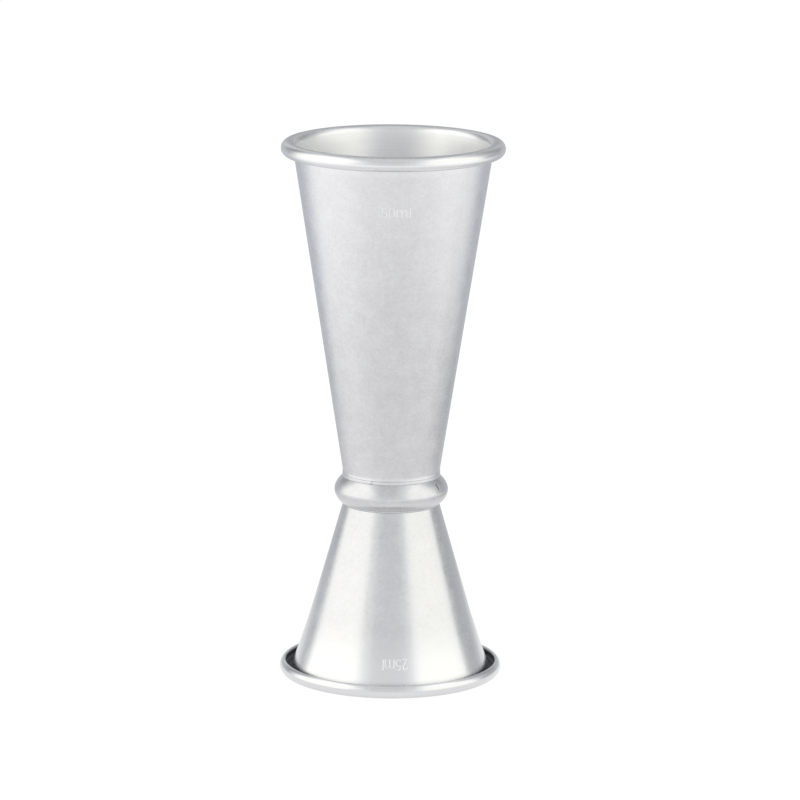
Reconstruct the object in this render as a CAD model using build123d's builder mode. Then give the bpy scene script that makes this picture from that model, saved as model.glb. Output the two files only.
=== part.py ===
from build123d import *

import os
from math import asin, atan2, cos, degrees, hypot, radians, sin, tan

# A double-ended bar measure. Two spun metal cups stand foot to foot, with a ring round the waist.
#
# Millimetres, +Z up. The origin is on the axis, in the plane that the small cup's mouth rests on.
# The small cup stands mouth down and the large cup opens upwards. Each cup is one disc of sheet,
# spun from a flat foot along a straight taper to a mouth that is rolled outwards into an open
# curl. The feet are soldered face to face. The ring is half-round wire, bent round the V that the
# two tapers make at the waist and soldered where its ends meet, and a fillet of solder runs along
# each of its edges.

# The whole measure
overall_height = 112.5  # from mouth to mouth
joint_height = 39.45  # middle of the solder between the feet, above the rest plane
rim_diameter = 46.2  # across each rolled lip

# The sheet and the lip, alike on both cups
sheet = 0.8
inner_corner = 1.5  # radius inside a cup, where its floor meets its wall
lip_radius = 1.5  # outside of the curl
tuck_angle = 75.0  # how far the curl goes on past its widest point
edge_round_share = 0.3  # round on the sheet's cut edge, as a share of its thickness

# The large cup
large_foot_diameter = 18.95  # where the lines of wall and foot would cross
large_lip_land = 0.25  # flat on top of the lip, between the mouth's round and the curl

# The small cup
small_foot_diameter = 18.25
small_lip_land = 0.85

# The solder between the feet
solder_layer = 0.15
solder_inset = 0.3  # from the edge of the smaller foot's flat

# The ring round the waist
ring_thickness = 2.0  # from the bore to the widest point
seat_height = 0.35  # band at each edge of the ring that lies on a cup's wall
upper_seat_rise = 0.15  # from the end of the large foot's round up to the upper seat
lower_seat_rise = 0.7  # from the end of the small foot's round down to the lower seat
ring_land = 0.4  # flat at each edge of the ring, outside its seat
seam_gap = 0.22  # between the ring's two ends, measured at its widest point
seam_angle = -31.0  # from +X towards +Y, so that the seam faces front right

# The fillets of solder along the ring's edges
fillet_share = 0.75  # of the ring's land that a fillet covers


def taper_angle(foot_radius, height, land):
    """Angle from the axis, in radians, of a wall that runs tangent into the round of its mouth."""
    out = rim_diameter / 2 - lip_radius - land - foot_radius
    up = height - lip_radius
    return atan2(out, up) - asin((lip_radius - sheet) / hypot(out, up))


def foot_flat(foot_radius, taper):
    """Radius of the flat under a foot, inside the round of its corner."""
    return foot_radius - (inner_corner + sheet) * tan((radians(90) - taper) / 2)


def foot_round_height(taper):
    """Height above a foot at which the round of its corner ends and the straight wall starts."""
    return (inner_corner + sheet) * (1 - sin(taper))


def cup_inside(foot_radius, height, land, taper):
    """Draws a cup's inner face, foot down, from the axis to the cut edge, and returns that end."""
    turn = 90 - degrees(taper)
    wall_foot = foot_radius + sheet * tan(taper) - sheet / cos(taper)
    corner_start = wall_foot - inner_corner * tan(radians(turn) / 2)
    mouth_centre = Vector(rim_diameter / 2 - lip_radius - land, height - lip_radius)
    mouth_start = mouth_centre + Vector(-cos(taper), sin(taper)) * lip_radius
    floor = Line((0, sheet), (corner_start, sheet))
    corner = JernArc(floor @ 1, floor % 1, inner_corner, turn)
    wall = Line(corner @ 1, mouth_start)
    mouth = JernArc(wall @ 1, wall % 1, lip_radius, -turn)
    flat = Line(mouth @ 1, mouth @ 1 + Vector(land, 0))
    curl = JernArc(flat @ 1, flat % 1, lip_radius, -90 - tuck_angle)
    return curl @ 1


def ring_inside():
    """Draws the ring's flats, seats and bore, from the top flat's outer end to the bottom one's."""
    Polyline(
        (round_start, ring_top),
        (upper_edge, ring_top),
        (upper_bore, ring_top - seat_height),
        (lower_bore, ring_bottom + seat_height),
        (lower_edge, ring_bottom),
        (round_start, ring_bottom),
    )


def fillet_outline(edge, side, taper):
    """Draws a solder fillet in the angle between the ring's flat and a cup's wall."""
    leg = fillet_share * ring_land
    corner = Vector(edge, ring_top if side > 0 else ring_bottom)
    on_wall = corner + Vector(sin(taper), side * cos(taper)) * leg
    on_ring = corner + Vector(leg, 0)
    Polyline(on_wall, corner, on_ring, close=True)


# Where the cups stand
large_foot = joint_height + solder_layer / 2
small_foot = joint_height - solder_layer / 2
large_height = overall_height - large_foot
small_height = small_foot
large_foot_radius = large_foot_diameter / 2
small_foot_radius = small_foot_diameter / 2
large_taper = taper_angle(large_foot_radius, large_height, large_lip_land)
small_taper = taper_angle(small_foot_radius, small_height, small_lip_land)

# Where the ring lies: each seat starts on a cup's wall, a little past the round of its foot
upper_reach = foot_round_height(large_taper) + upper_seat_rise
lower_reach = foot_round_height(small_taper) + lower_seat_rise
upper_bore = large_foot_radius + upper_reach * tan(large_taper)
lower_bore = small_foot_radius + lower_reach * tan(small_taper)
upper_edge = upper_bore + seat_height * tan(large_taper)
lower_edge = lower_bore + seat_height * tan(small_taper)
ring_top = large_foot + upper_reach + seat_height
ring_bottom = small_foot - lower_reach - seat_height
ring_middle = (ring_top + ring_bottom) / 2
ring_radius = max(upper_bore, lower_bore) + ring_thickness
round_start = max(upper_edge, lower_edge) + ring_land
seam_arc = degrees(seam_gap / ring_radius)

os.makedirs("parts", exist_ok=True)

with BuildPart() as large_cup:
    with BuildSketch(Plane((0, 0, large_foot), x_dir=(1, 0, 0), z_dir=(0, -1, 0))):
        with BuildLine():
            cut_edge = cup_inside(large_foot_radius, large_height, large_lip_land, large_taper)
            offset(amount=sheet, side=Side.RIGHT)
        make_face()
        fillet(vertices().sort_by_distance(cut_edge)[:2], edge_round_share * sheet)
    revolve(axis=Axis.Z)
large_cup.part.label = "large_cup"
export_step(large_cup.part, "parts/large_cup.step")

with BuildPart() as small_cup:
    with BuildSketch(Plane((0, 0, small_foot), x_dir=(1, 0, 0), z_dir=(0, 1, 0))):
        with BuildLine():
            cut_edge = cup_inside(small_foot_radius, small_height, small_lip_land, small_taper)
            offset(amount=sheet, side=Side.RIGHT)
        make_face()
        fillet(vertices().sort_by_distance(cut_edge)[:2], edge_round_share * sheet)
    revolve(axis=Axis.Z)
small_cup.part.label = "small_cup"
export_step(small_cup.part, "parts/small_cup.step")

with BuildPart() as joint_solder:
    with BuildSketch(Plane.XY.offset(small_foot)):
        large_flat = foot_flat(large_foot_radius, large_taper)
        small_flat = foot_flat(small_foot_radius, small_taper)
        Circle(min(large_flat, small_flat) - solder_inset)
    extrude(amount=solder_layer)
joint_solder.part.label = "joint_solder"
export_step(joint_solder.part, "parts/joint_solder.step")

with BuildPart() as waist_ring:
    with BuildSketch(Plane.XZ.rotated((0, 0, seam_angle + seam_arc / 2))):
        with BuildLine():
            ring_inside()
            TangentArc((ring_radius, ring_middle), (round_start, ring_top), tangent=(0, 1))
            TangentArc((ring_radius, ring_middle), (round_start, ring_bottom), tangent=(0, -1))
        make_face()
    revolve(axis=Axis.Z, revolution_arc=360 - seam_arc)
waist_ring.part.label = "waist_ring"
export_step(waist_ring.part, "parts/waist_ring.step")

# The seam is filled flush below the ring's widest point, and dips in a straight line above it
with BuildPart() as seam_solder:
    with BuildSketch(Plane.XZ.rotated((0, 0, seam_angle - seam_arc / 2))):
        with BuildLine():
            ring_inside()
            Line((ring_radius, ring_middle), (round_start, ring_top))
            TangentArc((ring_radius, ring_middle), (round_start, ring_bottom), tangent=(0, -1))
        make_face()
    revolve(axis=Axis.Z, revolution_arc=seam_arc)
seam_solder.part.label = "seam_solder"
export_step(seam_solder.part, "parts/seam_solder.step")

with BuildPart() as upper_solder_fillet:
    with BuildSketch(Plane.XZ):
        with BuildLine():
            fillet_outline(upper_edge, 1, large_taper)
        make_face()
    revolve(axis=Axis.Z)
upper_solder_fillet.part.label = "upper_solder_fillet"
export_step(upper_solder_fillet.part, "parts/upper_solder_fillet.step")

with BuildPart() as lower_solder_fillet:
    with BuildSketch(Plane.XZ):
        with BuildLine():
            fillet_outline(lower_edge, -1, small_taper)
        make_face()
    revolve(axis=Axis.Z)
lower_solder_fillet.part.label = "lower_solder_fillet"
export_step(lower_solder_fillet.part, "parts/lower_solder_fillet.step")
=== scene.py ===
from math import asin, atan2, cos, hypot, pi, radians, sin, tan

import bpy
import numpy as np
from mathutils import Matrix, Vector


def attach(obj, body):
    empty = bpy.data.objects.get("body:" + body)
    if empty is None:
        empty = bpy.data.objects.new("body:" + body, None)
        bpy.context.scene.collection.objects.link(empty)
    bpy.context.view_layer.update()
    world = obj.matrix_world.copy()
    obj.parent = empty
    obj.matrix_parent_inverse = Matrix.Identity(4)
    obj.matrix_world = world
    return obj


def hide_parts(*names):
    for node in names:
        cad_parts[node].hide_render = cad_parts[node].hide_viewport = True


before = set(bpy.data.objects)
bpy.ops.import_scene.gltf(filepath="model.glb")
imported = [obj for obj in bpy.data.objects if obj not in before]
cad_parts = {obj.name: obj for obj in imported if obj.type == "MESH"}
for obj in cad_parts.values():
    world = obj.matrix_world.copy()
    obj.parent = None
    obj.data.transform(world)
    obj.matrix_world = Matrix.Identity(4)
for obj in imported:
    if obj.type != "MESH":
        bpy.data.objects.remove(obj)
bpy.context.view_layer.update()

# The camera. It stands a metre off and a little above the measure, with a long lens, and is
# aimed so that the measure stands a little left of the picture's middle and leans a hair right.
mm = 0.001
camera_distance = 1020.3 * mm
camera_rise = radians(12.295)
camera_roll = radians(0.37)
focal_length = 221.17  # in millimetres, as a lens is engraved
looks_at = Vector((0, 0, 54 * mm))
middle_is_right = 1.733 * mm  # from the point looked at to the picture's middle
middle_is_up = 3.997 * mm

away = Vector((0, -cos(camera_rise), sin(camera_rise)))
level = Vector((1, 0, 0))
upright = away.cross(level)
across = level * cos(camera_roll) + upright * sin(camera_roll)
upward = upright * cos(camera_roll) - level * sin(camera_roll)
stand_point = looks_at + away * camera_distance
backward = (stand_point - looks_at - across * middle_is_right - upward * middle_is_up).normalized()
across = (across - backward * across.dot(backward)).normalized()
upward = backward.cross(across)
facing = Matrix((across, upward, backward)).transposed().to_4x4()
camera = bpy.data.objects.new("camera", bpy.data.cameras.new("camera"))
camera.data.lens = focal_length
camera.matrix_world = Matrix.Translation(stand_point) @ facing
bpy.context.collection.objects.link(camera)
bpy.context.scene.camera = camera

# The large cup, one disc of pewter spun to a straight taper over a flat foot. Its mouth is rolled
# outwards into an open curl, and the wall carries its measure as shallow strokes near the mouth.
# Its sizes are in millimetres, and heights with no other word are above the rest plane.
rim_radius = 23.1
sheet = 0.8
inner_corner = 1.5  # radius inside, where the floor meets the wall
lip_radius = 1.5  # outside of the curl
tuck = radians(75)  # how far the curl goes on past its widest point
edge_round = 0.24  # on the sheet's cut edge
joint_height = 39.45  # middle of the solder between the two feet
solder_layer = 0.15
overall_height = 112.5
large_foot = joint_height + solder_layer / 2
large_height = overall_height - large_foot
large_foot_radius = 9.475  # where the lines of wall and foot would cross
large_land = 0.25  # flat on top of the lip
large_draw_in = 0.07  # of the wall under the lip, from its straight taper
drawn_in_at = large_height - lip_radius - 1.8  # above the foot, where it is drawn in most
draw_in_below = 1.4  # from there down to the straight taper
draw_in_above = 1.6  # and up
large_flare = 0.18  # of the wall over the ring, from its straight taper
flare_top = 4.5  # above the foot, where it starts to flare
flare_rise = 1.15  # from there down to the full flare
hidden_by_solder = 3.34, 3.4  # above the foot, where the solder covers the flare's end

large_mark_height = 100.8
large_mark_centre = radians(1.9)  # from the front towards the right
large_mark_radius = 19.05
fifty_height = 1.95
fifty_places = [0, 0.76, 1.6, 3.02]  # of its glyphs, in heights of the mark
mark_half_width = 3.9
mark_half_height = 1.4
stroke_width = 0.24
stroke_depth = 0.05
mark_columns = 120  # of faces across a mark
plain_columns = 200  # of faces round the rest of a cup
mark_rows = 44
lip_clearance = 0.02  # from the round of the mouth down to the wall's first row
close_under_lip = 3.2  # length of wall that has close rows
close_over_foot = 2.0

# A cup's looks, as shares from 0 to 1 for each row of its section. The root's and the gutter's are
# painted shade under the lip and into the curl.
root_shade = 0.22  # painted shade on the wall's root under the lip
root_shade_from = 3.3  # below the mouth
root_shade_full = 1.8
gutter_shade = 0.35  # painted shade, more than the root's, going into the curl
lip_wear = 0.68
fade_rows = 8
deep_from = 6  # rows below the top of the inner wall


def smooth(value, start, end):
    """0 up to the start and 1 from the end on, with a smooth change between: three times the
    square of the share of the way, less twice its cube. The end may be the smaller value."""
    share = np.clip((value - start) / (end - start), 0, 1)
    return share * share * (3 - 2 * share)


def bow(middle, radii, first, last, steps):
    """Points on an ellipse: its middle plus the radii times the cosine and sine of even angles."""
    turn = np.linspace(first, last, steps)
    return np.stack([middle[0] + radii[0] * np.cos(turn), middle[1] + radii[1] * np.sin(turn)], -1)


def run_between(first, last, steps):
    """Even points on a straight line, without its two ends."""
    share = np.linspace(0, 1, steps + 2)[1:-1, None]
    return np.asarray(first) * (1 - share) + np.asarray(last) * share


def taper_of(foot_radius, height, land):
    """Angle of a wall that leaves the foot's edge and runs tangent into the round of the mouth."""
    out = rim_radius - lip_radius - land - foot_radius
    up = height - lip_radius
    return atan2(out, up) - asin((lip_radius - sheet) / hypot(out, up))


def wall_heights_of(height, mark_rise):
    """Heights above the foot down a cup's outer wall, from its lip to the round of its foot, with
    close rows across the mark and near the wall's two ends."""
    top, bottom = height - lip_radius - lip_clearance, inner_corner + sheet
    mark_top, mark_bottom = mark_rise + mark_half_height, mark_rise - mark_half_height
    return np.concatenate([
        np.linspace(top, top - close_under_lip, 16, endpoint=False),
        np.linspace(top - close_under_lip, mark_top, 5, endpoint=False),
        np.linspace(mark_top, mark_bottom, mark_rows, endpoint=False),
        np.linspace(mark_bottom, bottom + close_over_foot, 12, endpoint=False),
        np.linspace(bottom + close_over_foot, bottom, 30),
    ])


def cup_section(foot_radius, height, land, wall_heights, bulge):
    """A cup's section as radius and height above its foot. It runs from the axis along the floor
    and the inner wall, over the mouth, round the curl to the cut edge, back along the inside of
    the curl, round to the root of the outer wall, down that wall at the given heights, and under
    the foot to the axis. The outer wall stands out from its straight taper by the bulge at each
    height. Returned with it: how many rows there are up to the end of each of these six. The last
    number of each bow and run is how many of them it gives."""
    taper = taper_of(foot_radius, height, land)
    corner_turn = pi / 2 - taper
    wall_foot = foot_radius + sheet * tan(taper) - sheet / cos(taper)
    corner = (wall_foot - inner_corner * tan(corner_turn / 2), sheet + inner_corner)
    mouth = (rim_radius - lip_radius - land, height - lip_radius)
    curl = (rim_radius - lip_radius, height - lip_radius)
    bore = lip_radius - sheet
    outer_cut = asin(edge_round / (lip_radius - edge_round)) - tuck
    inner_cut = asin(edge_round / (bore + edge_round)) - tuck
    outer_nose = bow(curl, (lip_radius - edge_round,) * 2, outer_cut, outer_cut, 1)[0]
    inner_nose = bow(curl, (bore + edge_round,) * 2, inner_cut, inner_cut, 1)[0]
    inner_round = bow(corner, (inner_corner,) * 2, -pi / 2, -taper, 12)
    outer_round = bow(corner, (inner_corner + sheet,) * 2, -taper, -pi / 2, 16)
    mouth_round = bow(mouth, (lip_radius,) * 2, pi - taper, pi / 2, 14)
    blocks = [
        [  # the floor and the inner wall
            [(0, sheet)], run_between((0, sheet), inner_round[0], 7), inner_round,
            run_between(inner_round[-1], mouth_round[0], 40),
        ],
        [  # the lip, as far as the middle of the cut edge
            mouth_round, bow(curl, (lip_radius,) * 2, pi / 2, outer_cut, 44),
            bow(outer_nose, (edge_round,) * 2, outer_cut, -tuck - pi / 2, 6)[1:],
        ],
        [  # the inside of the curl
            bow(inner_nose, (edge_round,) * 2, -tuck - pi / 2, inner_cut - pi, 5)[1:],
            bow(curl, (bore,) * 2, inner_cut, pi / 2, 22)[1:],
        ],
        [  # the root of the outer wall
            bow(mouth, (bore - bulge[0], bore), pi / 2, pi - taper, 8),
        ],
        [  # the outer wall
            np.stack([foot_radius + wall_heights * tan(taper) + bulge, wall_heights], -1),
        ],
        [  # the foot
            outer_round, run_between(outer_round[-1], (0, 0), 7), [(0, 0)],
        ],
    ]
    blocks = [np.concatenate(block) for block in blocks]
    return np.concatenate(blocks), np.cumsum([len(block) for block in blocks])


def cup_looks(ends, wall_heights, height):
    """For each row of a cup's section, from 0 to 1: how much painted shade it has inside the curl,
    at the curl's mouth and on the wall's root under it, how far it is on the drink's side, how deep
    it is there, and how far the lip is polished smooth. Each fades evenly with the number of rows,
    and the wall's root by its smooth rise in height."""
    inner_end, lip_end, curl_end, root_end, wall_end, last = ends
    rows = np.arange(last)
    tucked = np.zeros(last)
    tucked[lip_end:curl_end] = 1
    into_curl = np.clip((root_end - 2 - rows[curl_end:root_end]) / (root_end - curl_end - 1), 0, 1)
    tucked[curl_end:root_end] = root_shade + gutter_shade * into_curl
    under_lip = smooth(wall_heights, height - root_shade_from, height - root_shade_full)
    tucked[root_end:wall_end] = root_shade * under_lip
    inside = np.clip((inner_end + fade_rows - rows) / fade_rows, 0, 1)
    deep = np.clip((inner_end - deep_from - rows) / fade_rows, 0, 1)
    worn = lip_wear * (1 - inside) * (rows < lip_end)
    return {"tucked": tucked, "inside": inside, "deep": deep, "worn": worn}


def pen(*points):
    """The strokes between each point of a drawn line and the next, as rows x0, y0, x1, y1."""
    line = np.concatenate([np.atleast_2d(p) for p in points])
    return np.hstack([line[:-1], line[1:]])


def figure_two():
    """The figure 2, one unit high: a round top, a slanting back and a flat foot."""
    top = bow((0.26, 0.73), (0.25, 0.27), radians(165), radians(-35), 9)
    return pen(top, (0.02, 0), (0.54, 0))


def figure_five():
    """The figure 5, one unit high: a bar, an upright and a round belly."""
    belly = bow((0.24, 0.32), (0.29, 0.32), radians(125), radians(-150), 11)
    return pen((0.5, 1), (0.09, 1), (0.05, 0.55), belly)


def figure_nought():
    """The figure 0, one unit high, as a narrow ellipse."""
    return pen(bow((0.29, 0.5), (0.28, 0.5), 0, 2 * pi, 17))


def letter_m():
    """The letter m with a low waist: three stems joined by two round arches."""
    left = pen(bow((0.26, 0.55), (0.26, 0.27), pi, 0, 7), (0.52, 0))
    return np.concatenate([pen((0, 0), (0, 0.8)), left, left + np.array([0.52, 0, 0.52, 0])])


def letter_l():
    """The letter l, one upright stroke."""
    return pen((0, 0), (0, 1))


def mark_strokes(glyphs, places, height, narrow):
    """The glyphs' strokes set side by side at their places, centred, height tall."""
    strokes = np.concatenate([
        glyph * np.array([narrow, 1, narrow, 1]) + np.array([place, 0, place, 0])
        for glyph, place in zip(glyphs, places)
    ])
    span = strokes[:, [0, 2]]
    strokes -= np.array([(span.min() + span.max()) / 2, 0.5] * 2)
    return strokes * height


def stroke_depth_at(along, up, strokes):
    """1 in the middle of a stroke, falling smoothly to 0 half its width away, for each point."""
    start, run = strokes[:, :2], strokes[:, 2:] - strokes[:, :2]
    offset = np.stack([along, up], -1)[..., None, :] - start
    share = np.clip((offset * run).sum(-1) / (run ** 2).sum(-1), 0, 1)
    distance = np.linalg.norm(offset - share[..., None] * run, axis=-1).min(-1)
    return 1 - smooth(distance, 0, stroke_width / 2)


def mark_depth(section, wall, around, strokes, mark_centre, mark_height, way_up):
    """How deep each point of a cup's grid lies in its mark, from 0 to 1. The mark is laid out on
    the outer wall by arc length sideways and by length along the wall upwards."""
    radii, heights = section[wall].T
    order = np.argsort(heights)
    mark_radius = np.interp(mark_height, heights[order], radii[order])
    slope = (radii[-1] - radii[0]) / (heights[-1] - heights[0])
    up = (heights - mark_height)[:, None] * hypot(1, slope) * way_up
    along = ((around - mark_centre) * mark_radius)[None, :] * way_up
    along, up = np.broadcast_arrays(along, up)
    close = (abs(up) < mark_half_height) & (abs(along) < mark_half_width)
    on_wall = np.zeros(close.shape)
    on_wall[close] = stroke_depth_at(along[close], up[close], strokes)
    depth = np.zeros((len(section), len(around)))
    depth[wall] = on_wall
    return depth


def make_piece(name, points, faces, **shades):
    """A smooth mesh object from an array of points and arrays of faces, with a number for each
    point stored under each of the shades' names."""
    mesh = bpy.data.meshes.new(name)
    mesh.from_pydata(points.tolist(), [], [face for block in faces for face in block.tolist()])
    mesh.polygons.foreach_set("use_smooth", np.ones(len(mesh.polygons), bool))
    for label, values in shades.items():
        shade = mesh.attributes.new(label, "FLOAT", "POINT")
        shade.data.foreach_set("value", values.astype(np.float32))
    mesh.update()
    piece = bpy.data.objects.new(name, mesh)
    bpy.context.collection.objects.link(piece)
    return piece


def grid_faces(rows, columns, wrap_rows, wrap_columns):
    """Four-sided faces over a grid of points, joined round either way where it wraps."""
    row = np.arange(rows if wrap_rows else rows - 1)[:, None]
    column = np.arange(columns if wrap_columns else columns - 1)[None, :]
    below, beside = (row + 1) % rows, (column + 1) % columns
    corners = [(row, column), (below, column), (below, beside), (row, beside)]
    corners = np.broadcast_arrays(*[down * columns + along for down, along in corners])
    return np.stack(corners, -1).reshape(-1, 4)


def run_of(section):
    """Length along a section from its first point, in metres."""
    steps = np.linalg.norm(np.diff(section, axis=0), axis=1)
    return np.concatenate([[0], np.cumsum(steps)]) * mm


def spin(radius, height, around):
    """Points at radius times the sine and minus the cosine of the angle from the front."""
    radius, height, around = np.broadcast_arrays(radius, height, around)
    return np.stack([radius * np.sin(around), -radius * np.cos(around), height], -1) * mm


def turn_cup(name, section, around, depth, looks):
    """A cup turned from its section and closed on the axis at both ends, its mark pressed in. Its
    looks are named shades with a number for each row."""
    inner = section[1:-1]
    rows, columns = len(inner), len(around)
    grid = spin(inner[:, :1] - stroke_depth * depth[1:-1], inner[:, 1:], around[None, :])
    poles = spin(np.zeros(2), section[[0, -1], 1], np.zeros(2))
    column = np.arange(columns)
    beside = (column + 1) % columns
    last_row = (rows - 1) * columns
    first_pole = np.full(columns, rows * columns)
    faces = [
        grid_faces(rows, columns, False, True),
        np.stack([first_pole, column, beside], -1),
        np.stack([first_pole + 1, last_row + beside, last_row + column], -1),
    ]
    shades = {"etch": np.concatenate([depth[1:-1].ravel(), [0, 0]])}
    for label, shade in {"run": run_of(section), **looks}.items():
        shades[label] = np.concatenate([np.repeat(shade[1:-1], columns), shade[[0, -1]]])
    return make_piece(name, np.concatenate([grid.reshape(-1, 3), poles]), faces, **shades)


def around_with(mark_centre, half_angle):
    """Angles once round a cup: fine steps across the mark, coarse ones over the rest."""
    start, end = mark_centre - half_angle, mark_centre + half_angle
    return np.concatenate([
        np.linspace(start, end, mark_columns, endpoint=False),
        np.linspace(end, start + 2 * pi, plain_columns, endpoint=False),
    ])


def put(tree, kind, wires=(), **settings):
    """A new node with its settings, each of its inputs wired to a socket or set to a value."""
    node = tree.nodes.new(kind)
    for label, value in settings.items():
        setattr(node, label, value)
    for label, value in dict(wires).items():
        if isinstance(value, bpy.types.NodeSocket):
            tree.links.new(value, node.inputs[label])
        else:
            node.inputs[label].default_value = value
    return node


def worked_out(tree, operation, *terms):
    """The result of one sum, product or the like of sockets and numbers."""
    return put(tree, "ShaderNodeMath", enumerate(terms), operation=operation).outputs[0]


def added(tree, start, socket, weight):
    """The start plus a socket times its weight."""
    return worked_out(tree, "MULTIPLY_ADD", socket, weight, start)


def swayed(tree, start, masks, weights):
    """The start plus each named mask's distance from one half times its weight."""
    for label, weight in weights.items():
        start = added(tree, start, worked_out(tree, "SUBTRACT", masks[label], 0.5), weight)
    return start


def mixed(tree, share, first, second):
    """A colour that goes from the first to the second as the share goes from 0 to 1."""
    wires = {0: share, 6: first, 7: second}
    return put(tree, "ShaderNodeMix", wires, data_type="RGBA").outputs[2]


def stored(tree, label):
    """The number that a piece's mesh stores under a name, and 0 where it stores none."""
    return put(tree, "ShaderNodeAttribute", attribute_name=label).outputs["Fac"]


# Pewter's own grain, in four masks: a fine mottle, soft clouds, the lines left by spinning, which
# follow the section's own length and so lie round the piece wherever it curves, and fine nicks.
# Each is a noise, and its scale is in waves to the metre.
mottle_scale = 1350
cloud_scale = 330
line_scale = 3400
line_drift = 70  # how fast the lines change on their way round
nick_scale = (240, 5200, 240)
nick_slant = (0.9, 0.5, 0.3)
nick_level = 0.70  # of the noise, where a nick begins
nick_full = 0.78

grain = bpy.data.node_groups.new("pewter_grain", "ShaderNodeTree")
grain.interface.new_socket("Place", in_out="INPUT", socket_type="NodeSocketVector")
grain.interface.new_socket("Run", in_out="INPUT", socket_type="NodeSocketFloat")
for label in ("Mottle", "Cloud", "Lines", "Nicks"):
    grain.interface.new_socket(label, in_out="OUTPUT", socket_type="NodeSocketFloat")
inlet = grain.nodes.new("NodeGroupInput").outputs
drift = {0: inlet["Place"], 1: (line_drift, line_drift, 0)}
drift = put(grain, "ShaderNodeVectorMath", drift, operation="MULTIPLY").outputs[0]
along_run = worked_out(grain, "MULTIPLY", inlet["Run"], line_scale)
along_run = put(grain, "ShaderNodeCombineXYZ", {"Z": along_run}).outputs[0]
spun_place = {0: drift, 1: along_run}
spun_place = put(grain, "ShaderNodeVectorMath", spun_place, operation="ADD").outputs[0]
slanted = {"Vector": inlet["Place"], "Rotation": nick_slant, "Scale": nick_scale}
slanted = put(grain, "ShaderNodeMapping", slanted).outputs[0]
waves = {
    "Mottle": {"Vector": inlet["Place"], "Scale": mottle_scale, "Detail": 2, "Roughness": 0.5},
    "Cloud": {"Vector": inlet["Place"], "Scale": cloud_scale, "Detail": 2, "Roughness": 0.5},
    "Lines": {"Vector": spun_place, "Scale": 1, "Detail": 3, "Roughness": 0.7},
    "Nicks": {"Vector": slanted, "Scale": 1, "Detail": 1},
}
outlet = grain.nodes.new("NodeGroupOutput").inputs
for label, wires in waves.items():
    mask = put(grain, "ShaderNodeTexNoise", wires).outputs[0]
    if label == "Nicks":
        cut_off = {0: mask, "From Min": nick_level, "From Max": nick_full}
        mask = put(grain, "ShaderNodeMapRange", cut_off).outputs[0]
    grain.links.new(mask, outlet[label])


def metal_grey(brightness, blue=0.0):
    """A grey with a touch more or less blue in it."""
    return (brightness, brightness, brightness + blue, 1)


def pewter(name, pale, dull, roughness, line_depth):
    """Satin pewter. The mottle and the clouds shift its colour and its gloss a little, and the
    mottle, the spinning lines and the nicks are cut into its surface. It is paler and rougher in
    the strokes of a mark, paler and plainly lined on the drink's side, paler and smoother on
    polished lips, down the small cup's wall and where a highlight is painted on the ring's
    underside, painted dull and dark as shade where it lies hidden in a curl, in a groove or at the
    ring's seam, and less metallic deep in a cup."""
    material = bpy.data.materials.new(name)
    material.use_nodes = True
    tree = material.node_tree
    shader = tree.nodes["Principled BSDF"].inputs
    labels = ("run", "etch", "tucked", "inside", "worn", "deep")
    run, etch, tucked, inside, worn, deep = [stored(tree, label) for label in labels]
    place = put(tree, "ShaderNodeTexCoord").outputs["Object"]
    masks = put(tree, "ShaderNodeGroup", {"Place": place, "Run": run}, node_tree=grain).outputs

    shade = swayed(tree, 0.5, masks, {"Mottle": 1.4, "Cloud": 1.3, "Lines": 0.35})
    lined = swayed(tree, 0.5, masks, {"Lines": 1.5, "Mottle": 0.5, "Cloud": 0.6})
    tone = mixed(tree, shade, dull, pale)
    tone = mixed(tree, worn, tone, worn_pewter)
    tone = mixed(tree, inside, tone, mixed(tree, lined, lined_dark, lined_pale))
    tone = mixed(tree, etch, tone, etched_pewter)
    tone = mixed(tree, tucked, tone, tucked_pewter)
    tree.links.new(tone, shader["Base Color"])
    tree.links.new(added(tree, 1, deep, -deep_non_metal), shader["Metallic"])

    matt = swayed(tree, roughness, masks, {"Mottle": 0.10, "Cloud": 0.14, "Lines": 0.05})
    for part, rougher in ((inside, 0.06), (worn, -0.02), (etch, 0.2), (tucked, 0.25)):
        matt = added(tree, matt, part, rougher)
    tree.links.new(matt, shader["Roughness"])

    depths = {"Mottle": 0.9, "Cloud": 0.8, "Lines": line_depth, "Nicks": -0.35}
    strength = added(tree, added(tree, 1, inside, -0.4), worn, -0.35)
    cut = {"Strength": strength, "Distance": grain_depth, "Height": swayed(tree, 0, masks, depths)}
    tree.links.new(put(tree, "ShaderNodeBump", cut).outputs[0], shader["Normal"])
    return material


grain_depth = 0.006 * mm
deep_non_metal = 0.3  # share of the surface that is not metallic, deep in a cup
etched_pewter = metal_grey(0.90)
# A dark colour painted as shade inside the curls, under the lips, in the solder's grooves and at
# the ring's seam.
tucked_pewter = (0.16, 0.17, 0.18, 1)
# Paler on polished lips, down the small cup's wall towards its lip, and as a painted highlight on
# the ring's underside.
worn_pewter = metal_grey(0.785)
lined_dark = metal_grey(0.755, -0.005)
lined_pale = metal_grey(0.835, -0.005)
cup_pewter = pewter(
    "cup_pewter", pale=metal_grey(0.73, 0.002), dull=metal_grey(0.65, 0.005),
    roughness=0.27, line_depth=0.35,
)

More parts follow.
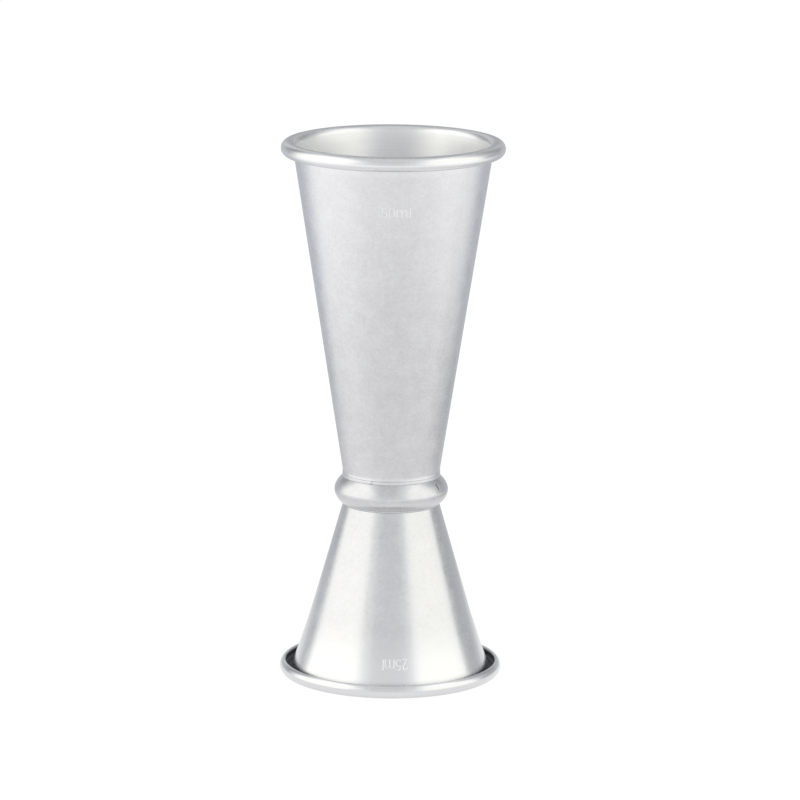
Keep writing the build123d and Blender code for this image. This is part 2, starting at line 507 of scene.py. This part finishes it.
large_taper = taper_of(large_foot_radius, large_height, large_land)
large_heights = wall_heights_of(large_height, large_mark_height - large_foot)
draw_in = np.clip((large_heights - drawn_in_at + draw_in_below) / draw_in_below, 0, 1) ** 2
draw_in *= large_draw_in * (1 - smooth(large_heights, drawn_in_at, drawn_in_at + draw_in_above))
flare = large_flare * np.clip((flare_top - large_heights) / flare_rise, 0, 1) ** 2
flare *= smooth(large_heights, *hidden_by_solder)
large_section, large_ends = cup_section(
    large_foot_radius, large_height, large_land, large_heights, flare - draw_in
)
large_wall = np.arange(large_ends[3], large_ends[4])
large_looks = cup_looks(large_ends, large_heights, large_height)
large_section[:, 1] += large_foot
large_around = around_with(large_mark_centre, mark_half_width / large_mark_radius)
fifty = [figure_five(), figure_nought(), letter_m(), letter_l()]
fifty = mark_strokes(fifty, fifty_places, fifty_height, narrow=1.0)
large_depth = mark_depth(
    large_section, large_wall, large_around, fifty, large_mark_centre, large_mark_height, way_up=1
)
large_cup = turn_cup("large_cup_spun", large_section, large_around, large_depth, large_looks)
large_cup.data.materials.append(cup_pewter)
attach(large_cup, "root")
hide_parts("large_cup")

# The small cup, spun in the same way to a wider taper. It stands mouth down, so that its curl
# opens upwards round the foot, and its mark reads the right way up when the measure is turned over.
small_foot = joint_height - solder_layer / 2
small_height = small_foot
small_foot_radius = 9.125
small_land = 0.85
small_flare = 0.62  # of the wall at its lip, from its straight taper
small_flare_start = small_height - 13  # above the foot
small_flare_rise = 11.5
small_mark_height = 6.32
small_mark_centre = radians(3.3)
small_mark_radius = 18.6
twenty_five_height = 2.2
twenty_five_places = [0, 0.66, 1.28, 2.34]
twenty_five_narrow = 0.82  # its glyphs' width, as a share of those on the large cup
wall_paling = 0.25  # paler and smoother, rising from the foot
wall_paling_full = 20  # above the foot
lip_end_paling = 0.7  # paler still near the lip end, more than the wall's
lip_end_worn = 25, 35.5  # above the foot, from where it starts to where it is full

small_taper = taper_of(small_foot_radius, small_height, small_land)
small_heights = wall_heights_of(small_height, small_foot - small_mark_height)
flare = np.clip((small_heights - small_flare_start) / small_flare_rise, 0, 1) ** 1.5
small_section, small_ends = cup_section(
    small_foot_radius, small_height, small_land, small_heights, small_flare * flare
)
small_wall = np.arange(small_ends[3], small_ends[4])
small_looks = cup_looks(small_ends, small_heights, small_height)
paling = wall_paling * np.clip(small_heights / wall_paling_full, 0, 1)
paling += lip_end_paling * smooth(small_heights, *lip_end_worn)
small_looks["worn"][small_wall] = paling
small_section[:, 1] = small_foot - small_section[:, 1]
small_section = small_section[::-1]
small_looks = {label: shade[::-1] for label, shade in small_looks.items()}
small_wall = len(small_section) - 1 - small_wall
small_around = around_with(small_mark_centre, mark_half_width / small_mark_radius)
twenty_five = [figure_two(), figure_five(), letter_m(), letter_l()]
twenty_five = mark_strokes(
    twenty_five, twenty_five_places, twenty_five_height, twenty_five_narrow
)
small_depth = mark_depth(
    small_section, small_wall, small_around, twenty_five, small_mark_centre, small_mark_height,
    way_up=-1,
)
small_cup = turn_cup("small_cup_spun", small_section, small_around, small_depth, small_looks)
small_pewter = pewter(
    "small_cup_pewter", pale=metal_grey(0.70, 0.002), dull=metal_grey(0.62, 0.005),
    roughness=0.25, line_depth=0.35,
)
small_cup.data.materials.append(small_pewter)
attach(small_cup, "root")
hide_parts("small_cup")

# The solder between the two feet, a thin even layer that shows nowhere.
soft_solder = pewter(
    "soft_solder", pale=metal_grey(0.72), dull=metal_grey(0.64, 0.005),
    roughness=0.30, line_depth=0.0,
)
joint_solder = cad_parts["joint_solder"]
joint_solder.data.materials.clear()
joint_solder.data.materials.append(soft_solder)

# The ring, half-round pewter wire bent round the waist with its flat side in. Its two ends meet
# front right, a hair's breadth apart, and the cut has left their edges a little rounded.
ring_thickness = 2.0
seat_height = 0.35  # band at each edge of the ring that lies on a cup's wall
upper_seat_rise = 0.15  # from the end of a foot's round to the ring's seat
lower_seat_rise = 0.7
shoulder_rise = 0.3  # of the belly's upper edge over the seat
behind_bead = 0.03, 0.04  # its inner corner there, out from the seat and down from the belly
belly_above = 0.224, -0.0027  # how fast the belly falls back over its widest point
belly_below = 0.184, 0.0028
belly_rows = 45
ring_columns = 200
ring_painted_sheen = 0.5  # painted highlight, paler along the lower edge of the belly
ring_worn = 1.8, 2.5  # below its middle, from where the painted highlight starts to where it is full
seam_gap = 0.30
seam_centre = radians(59)  # from the front towards the right
end_round = 0.03
end_columns = 5
rounded = (0.25, 0.45), (0.8, 1)  # shares of the way up, where the ends' round comes and goes
seam_gapes = (0.3, 0.42), (0.78, 0.92)  # the same, where the seam is open
upper_reach = (inner_corner + sheet) * (1 - sin(large_taper)) + upper_seat_rise
lower_reach = (inner_corner + sheet) * (1 - sin(small_taper)) + lower_seat_rise
upper_bore = large_foot_radius + upper_reach * tan(large_taper)
lower_bore = small_foot_radius + lower_reach * tan(small_taper)
upper_edge = upper_bore + seat_height * tan(large_taper)
lower_edge = lower_bore + seat_height * tan(small_taper)
ring_top = large_foot + upper_reach + seat_height
ring_bottom = small_foot - lower_reach - seat_height
ring_middle = (ring_top + ring_bottom) / 2
ring_radius = max(upper_bore, lower_bore) + ring_thickness
shoulder_top = ring_top + shoulder_rise
seam_half = seam_gap / 2 / ring_radius


def between(value, comes, goes):
    """1 along a stretch and 0 outside it: a smooth rise over the first pair of values, times a
    smooth fall over the second."""
    return smooth(value, *comes) * (1 - smooth(value, *goes))


def fall_back(distance, square, fourth):
    """How far the belly lies behind its widest point: a share of the squared distance from there
    plus a share of its fourth power, and nothing where the distance is negative."""
    distance = np.clip(distance, 0, None)
    return square * distance ** 2 + fourth * distance ** 4


def ring_section(belly):
    """The ring's section: its belly from the top down, then back up along the flat, the seats and
    the bore, and out under its top edge, which the bead of solder hides."""
    corners = np.array([
        belly[-1], (lower_edge, ring_bottom), (lower_bore, ring_bottom + seat_height),
        (upper_bore, ring_top - seat_height), (upper_edge, ring_top),
        (upper_edge + behind_bead[0], shoulder_top - behind_bead[1]), belly[0],
    ])
    back = [belly]
    for first, last in zip(corners[:-1], corners[1:]):
        back += [run_between(first, last, 3), last[None]]
    return np.concatenate(back)[:-1]


def bend_round(name, section, around, inset, **shades):
    """A section carried round the axis from one angle to another, with its two ends closed. Each
    point is drawn in towards the section's middle by the inset for its row and its angle."""
    middle = (section.min(0) + section.max(0)) / 2
    half = (section.max(0) - section.min(0)) / 2
    share = 1 - inset[..., None] / half
    carried = middle + (section - middle)[:, None, :] * share
    rows, columns = carried.shape[:2]
    grid = spin(carried[..., 0], carried[..., 1], around[None, :])
    start = np.arange(rows)[None, :] * columns
    caps = [start[:, ::-1], start + columns - 1]
    faces = [grid_faces(rows, columns, True, False)] + caps
    runs = np.repeat(run_of(section), columns)
    return make_piece(name, grid.reshape(-1, 3), faces, run=runs, **shades)


belly_heights = np.linspace(shoulder_top, ring_bottom, belly_rows)
belly_back = fall_back(belly_heights - ring_middle, *belly_above)
belly_back += fall_back(ring_middle - belly_heights, *belly_below)
ring_belly = np.stack([ring_radius - belly_back, belly_heights], -1)
belly_rise = (belly_heights - ring_middle) / ((ring_top - ring_bottom) / 2)
ring_outline = ring_section(ring_belly)

seam_start, seam_stop = seam_centre + seam_half, seam_centre - seam_half + 2 * pi
turn_in = np.linspace(0, pi / 2, end_columns)
end_steps = (1 - np.cos(turn_in)) * end_round / ring_radius
end_inset = (1 - np.sin(turn_in)) * end_round
ring_around = np.concatenate([
    seam_start + end_steps, np.linspace(seam_start, seam_stop, ring_columns)[1:-1],
    seam_stop - end_steps[::-1],
])
inset_around = np.concatenate([end_inset, np.zeros(ring_columns - 2), end_inset[::-1]])
shoulder = np.zeros((len(ring_outline), 1))
shoulder[:belly_rows, 0] = between(belly_rise, *rounded)
# A painted highlight along the underside of the belly.
underside_sheen = np.zeros(len(ring_outline))
underside_sheen[:belly_rows] = ring_painted_sheen * smooth(ring_middle - belly_heights, *ring_worn)
seam_open = between(belly_rise, *seam_gapes)
# Painted shade on the ring's two ends, darkest where the seam opens between them.
seam_end_shade = np.zeros((len(ring_outline), len(ring_around)))
seam_end_shade[:, [0, -1]] = 1
seam_end_shade[:belly_rows, [0, -1]] = seam_open[:, None]
waist_ring = bend_round(
    "waist_ring_bent", ring_outline, ring_around, shoulder * inset_around,
    worn=np.repeat(underside_sheen, len(ring_around)), tucked=seam_end_shade.ravel(),
)
ring_pewter = pewter(
    "ring_pewter", pale=metal_grey(0.70, 0.002), dull=metal_grey(0.62, 0.005),
    roughness=0.29, line_depth=0.45,
)
waist_ring.data.materials.append(ring_pewter)
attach(waist_ring, "root")
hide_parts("waist_ring")

# The solder in the ring's seam, rubbed flush with the belly and hardly seen on it. On the shoulder
# above, it sinks between the ring's ends, and it is painted dark there as shade.
seam_sink = 0.25
seam_flush = 0.004  # below the belly, where it is rubbed
seam_inset = 0.003  # all round its section, so that it shares no face with the ring
seam_columns = 7
seam_overlap = 1.2  # its width over the gap's, so that it runs in under the ring's ends

seam_belly = ring_belly.copy()
seam_belly[:, 0] -= seam_flush + seam_sink * seam_open
seam_reach = seam_overlap * seam_half
seam_around = np.linspace(seam_centre - seam_reach, seam_centre + seam_reach, seam_columns)
seam_outline = ring_section(seam_belly)
seam_painted_shade = np.zeros(len(seam_outline))
seam_painted_shade[:belly_rows] = seam_open
seam_solder = bend_round(
    "seam_solder_run", seam_outline, seam_around, np.full((1, seam_columns), seam_inset),
    tucked=np.repeat(seam_painted_shade, seam_columns),
)
seam_solder.data.materials.append(ring_pewter)
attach(seam_solder, "root")
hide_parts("seam_solder")

# The solder along the ring's two edges: a low bead on the large cup's wall over the ring, with a
# drop left standing in it at front left, and a thin fillet under the ring. Painted shade lies in
# the fine grooves along their edges.
bead_height = 0.68
bead_foot = 0.11  # the upper edge's distance from the wall's straight taper
bead_behind_belly = 0.03
bead_proud = 0.02
bead_groove_shade = [0.6, 0.3, 0, 0, 0, 0, 0, 0, 0.3, 0.6]
drop_angle = radians(-25)
drop_spread = radians(2.0)
drop_size = 0.17
fillet_leg = 0.28
fillet_drop = 0.4
fillet_hollow = 0.01
fillet_groove_shade = [0, 0, 0, 0, 0, 0, 0.2, 0.7, 1]
solder_columns = 360


def run_solder(name, first, last, corner, proud, grooves):
    """A run of solder round the waist, closed by a corner hidden behind it. Its face goes from the
    first point to the last and stands proud by a sine between them, more where the angle says so.
    The face's rows are painted dark as shade where they lie in a groove."""
    first, last, corner = np.array(first), np.array(last), np.array(corner)
    share = np.linspace(0, 1, len(grooves))[:, None, None]
    side = (last - first) / np.linalg.norm(last - first)
    out = np.array([-side[1], side[0]]) if side[1] < 0 else np.array([side[1], -side[0]])
    face = first + (last - first) * share + out * np.sin(pi * share) * proud[None, :, None]
    face = np.concatenate([face, np.broadcast_to(corner, (1,) + face.shape[1:])])
    rows, columns = face.shape[:2]
    points = spin(face[..., 0], face[..., 1], solder_around[None, :]).reshape(-1, 3)
    dark = np.repeat(np.append(grooves, 0.0), columns)
    run = make_piece(name, points, [grid_faces(rows, columns, True, True)], tucked=dark)
    run.data.materials.append(soft_solder)
    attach(run, "root")
    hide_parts(name.replace("_wiped", ""))


solder_around = np.linspace(-pi, pi, solder_columns, endpoint=False)
drop = np.exp(-((solder_around - drop_angle) / drop_spread) ** 2)
bead_top = shoulder_top + bead_height
bead_edge = large_foot_radius + (bead_top - large_foot) * tan(large_taper) + bead_foot
run_solder(
    "upper_solder_fillet_wiped", (bead_edge, bead_top),
    ring_belly[1] - np.array([bead_behind_belly, 0]), (upper_edge, ring_top),
    bead_proud + drop_size * drop, bead_groove_shade,
)
fillet_on_wall = lower_edge + fillet_drop * sin(small_taper)
fillet_end = ring_bottom - fillet_drop * cos(small_taper)
run_solder(
    "lower_solder_fillet_wiped", (lower_edge + fillet_leg, ring_bottom),
    (fillet_on_wall, fillet_end), (lower_edge, ring_bottom),
    np.full(solder_columns, -fillet_hollow), fillet_groove_shade,
)

# The studio: a white floor and a white sky, a softbox at each side, a long sheet of grey card from
# behind the camera up over the measure, and a dark cloth behind it. Satin metal shows all of them,
# and the camera only the white. Directions are in degrees from the front towards the right.
scene = bpy.context.scene
scene.view_settings.view_transform = "Standard"
white = (1, 1, 1, 1)
overhead_glow = 0.28  # how much brighter than white the sky is overhead
glow_starts = sin(radians(42))
glow_full = sin(radians(62))
sky_fill = 0.6  # the sky's light on the floor and the metal's own shade


def stepped(level, value, steps):
    """The level plus each step's amount times its smooth rise from its start to where it is full.
    A step is its amount, its start and where it is full."""
    return level + sum(amount * smooth(value, start, full) for amount, start, full in steps)


def patch_at(value, middle, half_width):
    """1 at the middle, falling smoothly to 0 half the width away on either side."""
    return 1 - smooth(abs(value - middle), 0, half_width)


def patched(level, value, patches):
    """The level plus each patch's amount, most at its middle and none beyond its half width. A
    patch is its amount, its middle and its half width."""
    return level + sum(amount * patch_at(value, *where) for amount, *where in patches)


# The sky is white at the height of the eye and a little brighter overhead. A camera ray, a ray off
# a gloss and one through glass see it so, and it lights the rest less.
world = bpy.data.worlds.new("studio")
world.use_nodes = True
scene.world = world
sky = world.node_tree
direction = put(sky, "ShaderNodeTexCoord").outputs["Generated"]
overhead = {
    0: put(sky, "ShaderNodeSeparateXYZ", {0: direction}).outputs["Z"],
    "From Min": glow_starts, "From Max": glow_full, "To Min": 1.0, "To Max": 1 + overhead_glow,
}
overhead = put(sky, "ShaderNodeMapRange", overhead, interpolation_type="SMOOTHSTEP").outputs[0]
path = put(sky, "ShaderNodeLightPath").outputs
seen = worked_out(sky, "MAXIMUM", path["Is Camera Ray"], path["Is Glossy Ray"])
seen = worked_out(sky, "MAXIMUM", seen, path["Is Transmission Ray"])
strength = put(sky, "ShaderNodeMapRange", {0: seen, "To Min": sky_fill, "To Max": overhead})
sky.nodes["Background"].inputs["Color"].default_value = white
sky.links.new(strength.outputs[0], sky.nodes["Background"].inputs["Strength"])

# The floor's own glow makes it white to the camera, and the rest of it takes the shadow. The metal
# sees it whitest right round the measure's foot, darker round it, brighter again to the front and
# sides, and dark and cool behind. The dark under the measure and round it is a painted shadow of
# the measure.
floor_drop = 0.01  # below the rest plane, in millimetres
glow_part = 0.8
camera_glow = 1.12
floor_tint = (1.0, 1.0, 1.02, 1)
cool_tint = (0.965, 1.0, 1.09, 1)
paper_white = (0.9, 0.9, 0.9, 1)
floor_level = 0.72  # how bright the metal sees the floor under the measure, in its painted shadow
floor_steps = [(0.24, 0.021, 0.0235), (-0.10, 0.045, 0.08), (-0.025, 0.12, 0.15)]  # in metres; out of the painted shadow at the foot, and into it again round the measure
front_glow, side_glow = 0.30, 0.06  # more than that, far out
back_shade = 0.22  # less than that, behind
floor_patches = [  # how much brighter, the direction and half width, where it starts and is full
    (0.10, (-75, 65), (0.05, 0.09)),
    (0.06, (72, 30), (0.13, 0.2)),
    (-0.03, (8, 30), (0.1, 0.16)),
    (-0.20, (0, 50), (0.4, 0.9)),
    (-0.15, (180, 24), (0.12, 0.3)),
    (-0.15, (-180, 24), (0.12, 0.3)),
]
right_shade, right_patch = 0.24, (116, 42)  # behind at the right, most of it near the measure
floor_rings = np.concatenate([
    [0, 0.0205], np.linspace(0.0215, 0.0265, 6), np.linspace(0.03, 0.4, 56),
    np.geomspace(0.5, 9, 12),
])
floor_turns = np.linspace(-180, 180, 90, endpoint=False)
reach, turn = np.meshgrid(floor_rings, floor_turns, indexing="ij")
sideways = np.sin(np.radians(turn)) ** 2
behind = smooth(-np.cos(np.radians(turn)), 0.25, 0.8)
far_out = smooth(reach, 0.11, 0.30)
in_metal = stepped(floor_level, reach, floor_steps)
in_metal += far_out * (front_glow + side_glow * sideways) * (1 - behind)
in_metal -= back_shade * behind * smooth(reach, 0.1, 0.2)
near_right = smooth(reach, 0.08, 0.14) * (1 - 0.6 * far_out)
in_metal -= right_shade * patch_at(turn, *right_patch) * near_right
for brighter, towards, outwards in floor_patches:
    in_metal += brighter * patch_at(turn, *towards) * smooth(reach, *outwards)
floor_points = spin(reach / mm, -floor_drop, np.radians(turn))
floor_faces = [grid_faces(len(floor_rings), len(floor_turns), False, True)[:, ::-1]]
floor = make_piece(
    "floor", floor_points.reshape(-1, 3), floor_faces,
    in_metal=in_metal.ravel(), cool=(behind * far_out).ravel(),
)

paper = bpy.data.materials.new("white_paper")
paper.use_nodes = True
leaf = paper.node_tree
leaf.nodes.clear()
path = put(leaf, "ShaderNodeLightPath").outputs
metal_tint = mixed(leaf, stored(leaf, "cool"), floor_tint, cool_tint)
tint = mixed(leaf, path["Is Camera Ray"], metal_tint, white)
strength = {0: path["Is Camera Ray"], 2: stored(leaf, "in_metal"), 3: camera_glow}
strength = put(leaf, "ShaderNodeMix", strength, data_type="FLOAT").outputs[0]
glow = put(leaf, "ShaderNodeEmission", {"Color": tint, "Strength": strength}).outputs[0]
matt_paper = put(leaf, "ShaderNodeBsdfDiffuse", {"Color": paper_white}).outputs[0]
mirrored = worked_out(leaf, "MAXIMUM", path["Is Glossy Ray"], path["Is Transmission Ray"])
glow_share = added(leaf, mirrored, path["Is Camera Ray"], glow_part)
both = put(leaf, "ShaderNodeMixShader", {0: glow_share, 1: matt_paper, 2: glow}).outputs[0]
put(leaf, "ShaderNodeOutputMaterial", {"Surface": both})
floor.data.materials.append(paper)


def hang_card(name, colour, distance, out, bright):
    """A curved card round the measure, through a grid of directions at one distance, and as bright
    at each as bright says. The camera doesn't see it, but the metal reflects it."""
    rows, columns = bright.shape
    points = out.reshape(-1, 3) * distance + looks_at
    faces = [grid_faces(rows, columns, False, False)]
    card = make_piece(name, points, faces, bright=bright.ravel())
    finish = bpy.data.materials.new(name)
    finish.use_nodes = True
    tree = finish.node_tree
    tree.nodes.clear()
    light = put(tree, "ShaderNodeEmission", {"Color": colour, "Strength": stored(tree, "bright")})
    put(tree, "ShaderNodeOutputMaterial", {"Surface": light.outputs[0]})
    card.data.materials.append(finish)
    card.visible_camera = card.visible_diffuse = card.visible_shadow = False


# The grey sheet rises in front and goes on over the top. It is a little darker above the camera
# and darkest at its end behind, and fades to the sky's white at its sides.
sheet_distance = 1.27
sheet_colour = (0.98, 1, 1.025, 1)
sheet_grey = 0.79
sheet_steps = [(-0.06, 30, 44), (0.03, 50, 80), (-0.22, 92, 124)]  # by the climb in degrees
sheet_patches = [(0.02, 20, 16)]
left_fade = 20, 30  # degrees to the left of its middle, over which it fades
right_fade = 15, 28
lean, climb = np.meshgrid(np.linspace(-30, 30, 31), np.linspace(-3, 124, 90))
sin_lean, cos_lean = np.sin(np.radians(lean)), np.cos(np.radians(lean))
sheet_out = np.stack([
    sin_lean, -cos_lean * np.cos(np.radians(climb)), cos_lean * np.sin(np.radians(climb))
], -1)
grey = stepped(patched(sheet_grey, climb, sheet_patches), climb, sheet_steps)
sky_white = 1 + overhead_glow * smooth(sheet_out[..., 2], glow_starts, glow_full)
fade = np.where(lean < 0, smooth(-lean, *left_fade), smooth(lean, *right_fade))
hang_card("grey_sheet", sheet_colour, sheet_distance, sheet_out, grey + (sky_white - grey) * fade)

# The cloth hangs in dark folds behind the measure. Low down they lie in its middle and near its
# two ends, halfway up further in, and at its top it is pale to both sides.
cloth_distance = 1.3
cloth_colour = (0.97, 1, 1.04, 1)
low_grey, halfway_grey, high_grey = 0.62, 0.60, 0.46
low_folds = [(-0.14, 125, 30), (-0.28, 180, 16), (-0.14, 230, 18)]
low_steps = [(0.30, 230, 242)]
halfway_folds = [(-0.24, 142, 26), (-0.10, 178, 16), (0.15, 200, 14), (-0.30, 218, 18)]
halfway_steps = [(0.20, 122, 104), (0.40, 230, 242)]
high_steps = [(0.28, 168, 142), (0.44, 184, 210)]
low_to_halfway = 6, 18  # degrees up, over which one shade goes over into the next
halfway_to_high = 32, 54
turn, climb = np.meshgrid(np.linspace(104, 242, 70), np.linspace(-3, 62, 40))
cloth_out = spin(np.cos(np.radians(climb)), np.sin(np.radians(climb)), np.radians(turn)) / mm
low = stepped(patched(low_grey, turn, low_folds), turn, low_steps)
halfway = stepped(patched(halfway_grey, turn, halfway_folds), turn, halfway_steps)
high = stepped(high_grey, turn, high_steps)
dusk = low + (halfway - low) * smooth(climb, *low_to_halfway)
dusk += (high - dusk) * smooth(climb, *halfway_to_high)
hang_card("back_cloth", cloth_colour, cloth_distance, cloth_out, dusk)

# The softboxes stand to the left and the right, and their light is a little warm.
softbox_rise = radians(26)
softbox_height = 1.4
softbox_distance = 1.1


def hang_softbox(name, direction, width, radiance, colour):
    """A softbox turned towards the measure. Its power is its radiance times pi times its area."""
    lamp = bpy.data.lights.new(name, "AREA")
    lamp.shape = "RECTANGLE"
    lamp.size = width
    lamp.size_y = softbox_height
    lamp.energy = radiance * pi * width * softbox_height
    lamp.color = colour
    level_out = cos(softbox_rise)
    out = Vector((sin(direction) * level_out, -cos(direction) * level_out, sin(softbox_rise)))
    facing = out.to_track_quat("Z", "Y").to_matrix().to_4x4()
    box = bpy.data.objects.new(name, lamp)
    box.matrix_world = Matrix.Translation(out * softbox_distance + looks_at) @ facing
    box.visible_camera = False
    bpy.context.collection.objects.link(box)


hang_softbox("left_softbox", radians(-80), 1.72, 0.37, (1.02, 1.0, 0.89))
hang_softbox("right_softbox", radians(69), 1.6, 0.31, (1.02, 1.0, 0.85))
